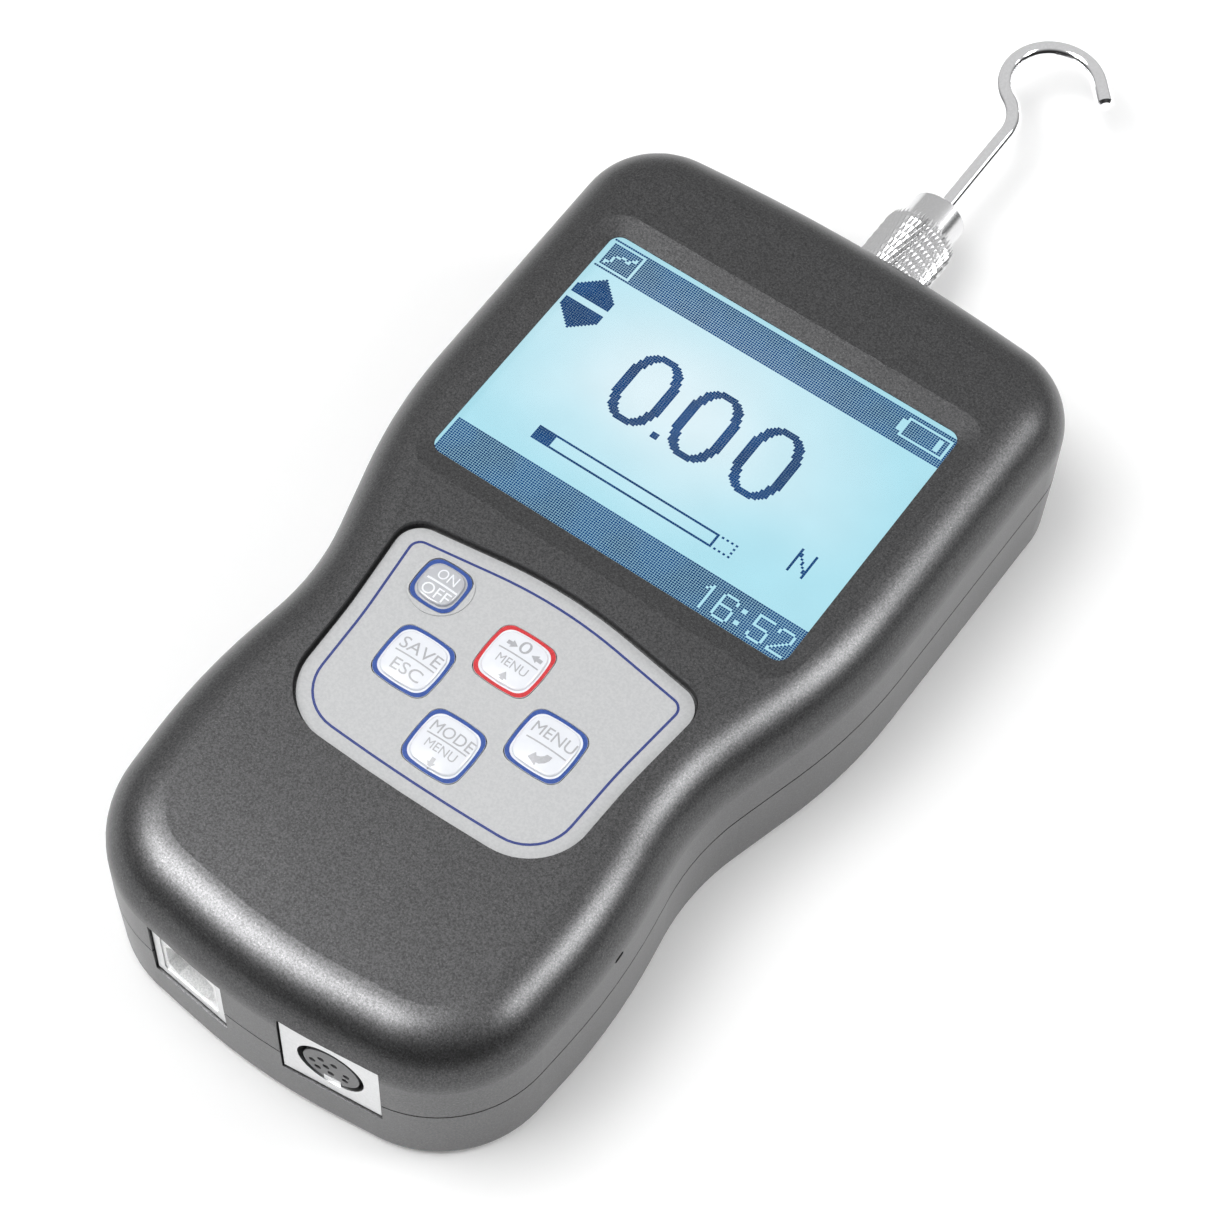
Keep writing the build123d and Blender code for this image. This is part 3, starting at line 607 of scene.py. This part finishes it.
# ---- properties ---------------------------------------------------------------------------------
class GaugeSettings(bpy.types.PropertyGroup):
    """Sizes and colours that a user may change."""

    glow: bpy.props.FloatProperty(
        name="Display glow", description="Strength of the light behind the display",
        default=1.1, min=0, max=2,
    )
    bar_share: bpy.props.FloatProperty(
        name="Bar dots", description="Part of the dot pitch that a dark dot of the two bars fills",
        default=0.87, min=0.3, max=1, subtype="FACTOR",
    )
    mark_share: bpy.props.FloatProperty(
        name="Mark dots", description="Part of the dot pitch that a dark dot of the reading fills",
        default=0.97, min=0.3, max=1, subtype="FACTOR",
    )
    key_blue: bpy.props.FloatVectorProperty(
        name="Key frame", description="Ink of the frames on the keys",
        default=(0.01, 0.06, 0.3), subtype="COLOR", size=3, min=0, max=1,
    )
    key_red: bpy.props.FloatVectorProperty(
        name="Zero key frame", description="Ink of the frame on the zero key",
        default=(0.6, 0.014, 0.022), subtype="COLOR", size=3, min=0, max=1,
    )
    border_blue: bpy.props.FloatVectorProperty(
        name="Border line", description="Ink of the line round the keypad",
        default=(0.013, 0.032, 0.2), subtype="COLOR", size=3, min=0, max=1,
    )
    frame_width: bpy.props.FloatProperty(
        name="Frame width", description="Width of the printed frame on a key",
        default=0.5 * MM, unit="LENGTH", subtype="DISTANCE", precision=5,
    )
    knurl_columns: bpy.props.IntProperty(
        name="Knurl columns", description="Diamonds round the knurled collar",
        default=50, min=8, max=80,
    )
    knurl_rows: bpy.props.IntProperty(
        name="Knurl rows", description="Staggered rows of diamonds along the collar",
        default=9, min=3, max=60,
    )
    knurl_depth: bpy.props.FloatProperty(
        name="Knurl depth", description="Height of a diamond",
        default=0.3 * MM, unit="LENGTH", subtype="DISTANCE", precision=5,
    )


def settings():
    return bpy.context.scene.gauge_settings


# ---- operators ----------------------------------------------------------------------------------
class GAUGE_OT_housing(bpy.types.Operator):
    """Paint both housing shells and finish their screws and threaded inserts"""

    bl_idname = "gauge.housing"
    bl_label = "Finish housing"

    def execute(self, context):
        paint(charcoal_paint(), "front_housing", "rear_housing")
        paint(bright_metal("black_oxide", (0.05, 0.05, 0.055), 0.4), "housing_screws")
        paint(bright_metal("turned_brass", (0.72, 0.5, 0.2), 0.28), "mount_inserts")
        return {"FINISHED"}


class GAUGE_OT_inside(bpy.types.Operator):
    """Finish the boards, cells, load cell and plates inside the housing"""

    bl_idname = "gauge.inside"
    bl_label = "Finish inside"

    def execute(self, context):
        paint(solder_mask(), "control_board", "interface_board")
        black = moulding("black_moulding", (0.018, 0.018, 0.019))
        paint(black, "key_switches", "battery_cradle", "display_frame")
        paint(moulding("light_guide", (0.8, 0.84, 0.86), 0.3), "display_backlight")
        paint(cell_sleeve(), "battery_cells")
        sheet = bright_metal("plain_sheet", (0.72, 0.72, 0.73), 0.35)
        paint(sheet, "chassis_plate", "load_cell_pad")
        beam = bright_metal("machined_beam", (0.78, 0.78, 0.79), 0.3, stretch=(1, 6, 1))
        paint(beam, "load_cell")
        paint(moulding("gauge_foil", (0.62, 0.33, 0.08), 0.3), "strain_gauges")
        zinc = bright_metal("zinc_screws", (0.66, 0.67, 0.69), 0.3)
        paint(zinc, "board_screws", "load_cell_screws", "chassis_screws")
        steel = bright_metal("turned_steel", (0.6, 0.6, 0.61), 0.28)
        paint(steel, "measuring_shaft", "shaft_nuts")
        paint(bright_metal("sintered_bronze", (0.6, 0.42, 0.2), 0.45), "shaft_bush")
        return {"FINISHED"}


class GAUGE_OT_display(bpy.types.Operator):
    """Light the display and draw its dots under a clear pane"""

    bl_idname = "gauge.display"
    bl_label = "Finish display"

    columns = 155
    rows = 128
    pitch = (0.376 * MM, 0.347 * MM)

    def execute(self, context):
        paint(backlit_field(), "display_glass")
        paint(clear_pane(), "display_window")
        dark = display_picture(self.columns, self.rows)
        bars = np.zeros_like(dark)
        bars[:, :LOWER_BAR_TOP + 1] = bars[:, UPPER_BAR_FOOT:] = True
        recipe, ink_blue = self.dot_recipe(), lit_dot()
        self.print_dots(recipe, "display_bars", dark & bars, settings().bar_share, ink_blue)
        self.print_dots(recipe, "display_marks", dark & ~bars, settings().mark_share, ink_blue)
        return {"FINISHED"}

    def dot_recipe(self):
        """Puts a flat oblong dot on every seed point."""
        recipe = Recipe("dot_grid", Width=("Float", 0.001), Height=("Float", 0.001),
                        Ink=("Material", None))
        dot = recipe.add("GeometryNodeMeshGrid", feeds={
            "Size X": recipe.input("Width"), "Size Y": recipe.input("Height"),
            "Vertices X": 2, "Vertices Y": 2,
        })
        points = recipe.add("GeometryNodeMeshToPoints", feeds={0: recipe.input("Geometry")})
        placed = recipe.add("GeometryNodeInstanceOnPoints", feeds={"Points": points, "Instance": dot})
        recipe.finish(placed, recipe.input("Ink"))
        return recipe

    def print_dots(self, recipe, name, cells, share, material):
        """One piece with a dot at every dark cell; share is the part of the pitch that it fills."""
        middle, top = middle_of("display_glass"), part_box("display_glass")[1].z + PRINT_LIFT
        places = [
            (middle.x + (column - (self.columns - 1) / 2) * self.pitch[0],
             middle.y + (row - (self.rows - 1) / 2) * self.pitch[1], top)
            for column, row in np.argwhere(cells)
        ]
        dots = recipe.run(name, seed_points("dot_seeds", places), Width=self.pitch[0] * share,
                          Height=self.pitch[1] * share, Ink=material)
        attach(dots, "housing")


class GAUGE_OT_keypad(bpy.types.Operator):
    """Finish the keypad field and its border line, and print each key's frame and words"""

    bl_idname = "gauge.keypad"
    bl_label = "Finish keypad"

    # x, y and radius of each corner of the field's right half, in millimetres
    half_outline = (
        (0, -1.6, 70), (24.3, -5.2, 3.8), (22.75, -20.4, 90), (22.05, -38.2, 9), (0, -39.1, 300),
    )
    line_inset = 2.0
    line_width = 0.36
    key_side = 9.2
    small_key_side = 7.3
    frame_inset = 0.02
    words_aside = 0.25
    # text, middle across, middle along, width, height
    words = {
        "key_on_off": (("ON", 0.0, 1.28, 3.0, 1.65), ("OFF", 0.0, -1.52, 4.3, 1.7)),
        "key_save_escape": (("SAVE", 0.0, 1.43, 6.3, 1.9), ("ESC", 0.05, -1.87, 4.6, 1.75)),
        "key_zero": (("0", 0.0, 2.2, 1.65, 2.0), ("MENU", 0.0, -0.92, 4.7, 1.3)),
        "key_mode": (("MODE", 0.05, 1.6, 6.5, 1.8), ("MENU", 0.0, -0.98, 4.7, 1.3)),
        "key_menu": (("MENU", 0.05, 1.42, 6.5, 1.8),),
    }
    # middle along, length and width of the line between the words
    rules = {
        "key_on_off": (-0.12, 4.8, 0.3), "key_save_escape": (-0.08, 6.3, 0.2),
        "key_zero": (0.5, 6.3, 0.2), "key_mode": (0.27, 6.3, 0.2), "key_menu": (-0.42, 6.3, 0.2),
    }
    # tip and direction of each straight arrow
    arrows = {
        "key_zero": (((-0.95, 1.7), 0), ((1.3, 1.7), pi), ((0.0, -2.2), pi / 2)),
        "key_mode": (((0.0, -4.05), -pi / 2),),
    }
    enter_mark = (
        (-1.23, -2.8), (-0.6, -1.75), (-0.28, -2.15), (0.25, -1.95), (0.6, -1.65), (0.8, -1.25),
        (1.6, -1.2), (1.55, -1.8), (1.2, -2.4), (0.6, -2.85), (0.15, -2.95), (0.25, -3.4),
    )

    def execute(self, context):
        paint(keypad_film(), "keypad_overlay")
        white, grey = key_white(), key_grey()
        blue = ink("frame_blue", tuple(settings().key_blue))
        red = ink("frame_red", tuple(settings().key_red))
        silver = ink("word_grey", (0.43, 0.435, 0.46), 0.05)
        pale = ink("word_white", (0.86, 0.88, 0.92), 0.03)
        self.border_line(ink("border_blue", tuple(settings().border_blue)))
        for name in KEYS:
            small = name == SMALL_KEY
            paint(grey if small else white, name)
            self.key_frame(name, red if name == "key_zero" else blue)
            self.key_words(name, pale if small else silver)
        return {"FINISHED"}

    def border_line(self, material):
        """The thin printed line that follows the edge of the field."""
        outline = inset(rounded_corners(self.half_outline), self.line_inset)
        line = flat_ring("keypad_border", outline, inset(outline, self.line_width), material)
        laid_on(line, "keypad_overlay", WHOLE_PRINT)
        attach(line, "housing")

    def key_frame(self, name, material):
        """The printed frame on the rim of a key."""
        middle = middle_of(name) / MM
        side = self.small_key_side if name == SMALL_KEY else self.key_side
        outer = key_outline(middle, side - 2 * self.frame_inset)
        inner = key_outline(middle, side - 2 * settings().frame_width / MM)
        ring = flat_ring("frame_" + name, outer, inner, material)
        laid_on(ring, name, WHOLE_PRINT)
        self.fix_to_key(ring, name)

    def key_words(self, name, material):
        """Words, dividing line and arrows printed on top of a key."""
        middle = middle_of(name)
        prints = [self.word(*row, material) for row in self.words[name]]
        along, length, width = self.rules[name]
        shapes = [((-length / 2, along - width / 2), (length / 2, along - width / 2),
                   (length / 2, along + width / 2), (-length / 2, along + width / 2))]
        shapes += [arrow_outline(tip, turn) for tip, turn in self.arrows.get(name, ())]
        if name == "key_menu":
            shapes.append(self.enter_mark)
        prints += [flat_print("mark", shape, material) for shape in shapes]
        printed = joined(prints, "words_" + name)
        across = middle.x + self.words_aside * MM
        printed.data.transform(Matrix.Translation((across, middle.y, 0)))
        laid_on(printed, name)
        self.fix_to_key(printed, name)

    def fix_to_key(self, piece, name):
        """Makes a print move with its key."""
        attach(piece, name)

    def word(self, text, across, along, width, height, material):
        """A word fitted to a box of that width and height, in millimetres."""
        curve = bpy.data.curves.new("word", "FONT")
        curve.body = text
        curve.resolution_u = 4
        curve.extrude = 0.5
        piece = baked(linked("word", curve), "word", material)
        places = np.array([v.co for v in piece.data.vertices])
        low, high = places.min(axis=0), places.max(axis=0)
        size = np.array([width * MM, height * MM, PRINT_THICKNESS]) / (high - low)
        start = np.array([(across - width / 2) * MM, (along - height / 2) * MM, 0])
        piece.data.vertices.foreach_set("co", ((places - low) * size + start).ravel())
        return piece


def arrow_outline(tip, turn, length=1.65, head=0.95, half_head=0.64, half_shaft=0.3):
    """A straight arrow with its tip at that place, pointing along turn."""
    shape = ((0, 0), (-head, half_head), (-head, half_shaft), (-length, half_shaft),
             (-length, -half_shaft), (-head, -half_shaft), (-head, -half_head))
    c, s = cos(turn), sin(turn)
    return [(tip[0] + x * c - y * s, tip[1] + x * s + y * c) for x, y in shape]


def key_outline(middle, side, bulge=0.35, corner=1.9, steps=10):
    """Square about a middle with sides bulged into arcs and rounded corners, in millimetres."""
    half = side / 2
    reach = half - bulge
    radius = (reach**2 + bulge**2) / (2 * bulge)
    back = radius - half
    corner_place = ((2 * (radius - corner) ** 2 - back**2) ** 0.5 - back) / 2
    spread = atan2(corner_place, corner_place + back)
    quarter = [(radius * sin(a), radius * cos(a) - back) for a in np.linspace(-spread, spread, steps)]
    for a in np.linspace(spread, pi / 2 - spread, steps)[1:-1]:
        quarter.append((corner_place + corner * sin(a), corner_place + corner * cos(a)))
    points = []
    for turn in range(4):
        c, s = cos(-turn * pi / 2), sin(-turn * pi / 2)
        points += [Vector((middle.x + x * c - y * s, middle.y + x * s + y * c)) for x, y in quarter]
    return points


class GAUGE_OT_sockets(bpy.types.Operator):
    """Finish the two sockets at the near end"""

    bl_idname = "gauge.sockets"
    bl_label = "Finish sockets"

    def execute(self, context):
        tin = bright_metal("tinned_steel", (0.6, 0.605, 0.61), 0.34)
        paint(tin, "usb_socket_shell", "round_socket_shield")
        white = moulding("white_moulding", (0.88, 0.89, 0.89), 0.4)
        paint(white, "usb_socket_insert")
        grey = moulding("socket_grey", (0.075, 0.075, 0.078), 0.4)
        paint(grey, "round_socket_insert")
        return {"FINISHED"}


class GAUGE_OT_hook(bpy.types.Operator):
    """Polish the hook and cut the diamonds of its knurled collar"""

    bl_idname = "gauge.hook"
    bl_label = "Finish hook"

    knurl_end = 88.4 * MM
    margin = 0.55 * MM
    overlap = 1.02

    def execute(self, context):
        plated = bright_metal("plated_collar", (0.66, 0.66, 0.665), 0.26, size=0.25, stretch=(1, 6, 1))
        paint(plated, "hook_collar")
        polished = bright_metal("polished_wire", (0.86, 0.86, 0.87), 0.1, scratch=0.06)
        paint(polished, "hook_wire")
        low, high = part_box("hook_collar")
        axis, radius = middle_of("hook_collar"), (high.x - low.x) / 2
        columns, rows = settings().knurl_columns, settings().knurl_rows
        start, end = low.y + self.margin, self.knurl_end - self.margin
        step = (end - start) / rows
        places, normals = [], []
        for row in range(rows):
            ring = Vector((axis.x, start + (row + 0.5) * step, axis.z))
            for column in range(columns):
                turn = tau * (column + 0.5 * (row % 2)) / columns
                outward = Vector((sin(turn), 0, cos(turn)))
                places.append(ring + outward * radius)
                normals.append(outward)
        half_width = tau * radius / columns / 2
        knurl = self.diamond_recipe().run(
            "knurl_diamonds", seed_points("knurl_seeds", places, normals),
            Width=half_width * self.overlap, Length=step * self.overlap,
            Depth=settings().knurl_depth, Metal=plated,
        )
        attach(knurl, "hook")
        return {"FINISHED"}

    def diamond_recipe(self):
        """Puts a four-sided pyramid on every seed point, with its tip along the point's normal."""
        recipe = Recipe("knurl", Width=("Float", 0.001), Length=("Float", 0.001),
                        Depth=("Float", 0.0003), Metal=("Material", None))
        pyramid = recipe.add("GeometryNodeMeshCone", {"fill_type": "TRIANGLE_FAN"},
                             {"Vertices": 4, "Radius Top": 0.0, "Radius Bottom": 1.0, "Depth": 1.0})
        scale = recipe.add("ShaderNodeCombineXYZ", feeds={
            "X": recipe.input("Width"), "Y": recipe.input("Length"), "Z": recipe.input("Depth"),
        })
        points = recipe.add("GeometryNodeMeshToPoints", feeds={0: recipe.input("Geometry")})
        outward = recipe.add("GeometryNodeInputNamedAttribute", {"data_type": "FLOAT_VECTOR"},
                             {"Name": "outward"})
        turned = recipe.add("FunctionNodeAlignRotationToVector", {"axis": "Z", "pivot_axis": "Y"},
                            {"Vector": outward})
        placed = recipe.add("GeometryNodeInstanceOnPoints", feeds={
            "Points": points, "Instance": pyramid, "Rotation": turned, "Scale": scale,
        })
        recipe.finish(placed, recipe.input("Metal"))
        return recipe


class GAUGE_OT_stage(bpy.types.Operator):
    """Set the floor, the lamps, the background and the camera"""

    bl_idname = "gauge.stage"
    bl_label = "Set stage"

    camera_place = (0.13035, -0.19293, 0.4279)
    camera_right = (0.8161, 0.5773, 0.0251)
    camera_up = (-0.5115, 0.7016, 0.496)
    camera_back = (0.2687, -0.4176, 0.868)
    camera_lens = 100.86
    sensor_width = 36
    floor_half = 6.0
    floor_level = -0.05 * MM
    floor_lift = 0.12
    floor_gloss = 0.45
    ceiling_way = (-0.3, 0.4, 0.9)
    ceiling_dark, ceiling_light = 0.03, 0.71
    room_light = 0.42

    def execute(self, context):
        self.floor()
        self.sky()
        self.lamp("soft_key", (-0.22, -0.18, 0.76), (0.5, 0.5), 4.2, gloss=False)
        self.lamp("soft_right", (0.5, 0.37, 0.45), (0.3, 0.3), 1.4, gloss=False)
        self.lamp("sheen_front", (-0.19, -0.19, 0.47), (0.3, 0.28), 4.7, matt=False)
        self.lamp("sheen_right", (0.52, 0.23, 0.54), (0.18, 0.3), 4.0, matt=False)
        self.lamp("sheen_hook", (0.46, 0.5, 0.36), (0.11, 0.11), 0.2, matt=False)
        self.camera()
        context.scene.view_settings.view_transform = "Standard"
        return {"FINISHED"}

    def rays(self, shading):
        """1 on a ray from the camera or through clear matter, and 1 on a ray off a gloss."""
        camera, through, glossy = (
            shading.node("LightPath", output=f"Is {kind} Ray")
            for kind in ("Camera", "Transmission", "Glossy")
        )
        return camera.atleast(through), glossy

    def floor(self):
        """A pale floor that keeps the shadow and looks a little lighter than its lamps make it."""
        cover = Finish("studio_floor", (0.93, 0.93, 0.93), 0.9)
        grain = cover.noise(size=40.0)
        cover.set("Base Color", cover.blend(grain, (0.92, 0.92, 0.92), (0.94, 0.94, 0.94)))
        seen, glossy = self.rays(cover)
        lift = (seen * self.floor_lift).atleast(glossy * self.floor_gloss)
        cover.set("Emission Color", cover.blend(lift, (0, 0, 0), (1, 1, 1)))
        cover.set("Emission Strength", 1.0)
        sides = ((-1, -1), (1, -1), (1, 1), (-1, 1))
        corners = [(x * self.floor_half, y * self.floor_half, self.floor_level) for x, y in sides]
        piece_from("studio_floor", corners, [(0, 1, 2, 3)], cover.material)

    def sky(self):
        """White where it is looked at, and in gloss a white ceiling that darkens to the front."""
        world = bpy.data.worlds.new("studio")
        world.use_nodes = True
        bpy.context.scene.world = world
        room = Shading(world.node_tree)
        way = room.node("TexCoord", output="Generated")
        lean = room.node("VectorMath", {"operation": "DOT_PRODUCT"}, {0: way, 1: self.ceiling_way},
                         output="Value")
        ceiling = self.ceiling_dark + lean.ease(0.05, 0.7) * (self.ceiling_light - self.ceiling_dark)
        seen, glossy = self.rays(room)
        strength = seen + (1 - seen) * (glossy * ceiling + (1 - glossy) * self.room_light)
        background = room.tree.nodes["Background"]
        background.inputs["Color"].default_value = (1, 1, 1, 1)
        room.tree.links.new(strength.socket, background.inputs["Strength"])

    def lamp(self, name, place, size, power, matt=True, gloss=True):
        """A soft panel that faces the object and lights its matt surfaces, its gloss or both."""
        light = bpy.data.lights.new(name, "AREA")
        light.shape = "RECTANGLE"
        light.size, light.size_y = size
        light.energy = power
        lamp = linked(name, light)
        lamp.location = place
        lamp.rotation_mode = "QUATERNION"
        lamp.rotation_quaternion = (-Vector(place)).to_track_quat("-Z", "Y")
        lamp.visible_diffuse = matt
        lamp.visible_glossy = gloss

    def camera(self):
        data = bpy.data.cameras.new("studio_camera")
        data.lens = self.camera_lens
        data.sensor_width = self.sensor_width
        data.clip_start, data.clip_end = 0.01, 20
        camera = linked("camera", data)
        ways = (self.camera_right, self.camera_up, self.camera_back)
        turn = Matrix([Vector(way).normalized() for way in ways]).transposed().to_4x4()
        camera.matrix_world = Matrix.Translation(self.camera_place) @ turn
        bpy.context.scene.camera = camera


class GAUGE_PT_panel(bpy.types.Panel):
    """Lists the steps and the settings of finishing the gauge"""

    bl_idname = "GAUGE_PT_panel"
    bl_label = "Force gauge"
    bl_space_type = "VIEW_3D"
    bl_region_type = "UI"
    bl_category = "Gauge"

    def draw(self, context):
        for step in STEPS:
            self.layout.operator(step.bl_idname)
        for name in GaugeSettings.__annotations__:
            self.layout.prop(context.scene.gauge_settings, name)


STEPS = (
    GAUGE_OT_housing, GAUGE_OT_inside, GAUGE_OT_display, GAUGE_OT_keypad,
    GAUGE_OT_sockets, GAUGE_OT_hook, GAUGE_OT_stage,
)
CLASSES = (GaugeSettings, *STEPS, GAUGE_PT_panel)


def register():
    for cls in CLASSES:
        bpy.utils.register_class(cls)
    bpy.types.Scene.gauge_settings = bpy.props.PointerProperty(type=GaugeSettings)


def unregister():
    del bpy.types.Scene.gauge_settings
    for cls in reversed(CLASSES):
        bpy.utils.unregister_class(cls)


def main():
    register()
    bpy.ops.gauge.housing()
    bpy.ops.gauge.inside()
    bpy.ops.gauge.display()
    bpy.ops.gauge.keypad()
    bpy.ops.gauge.sockets()
    bpy.ops.gauge.hook()
    bpy.ops.gauge.stage()


if __name__ == "__main__":
    main()
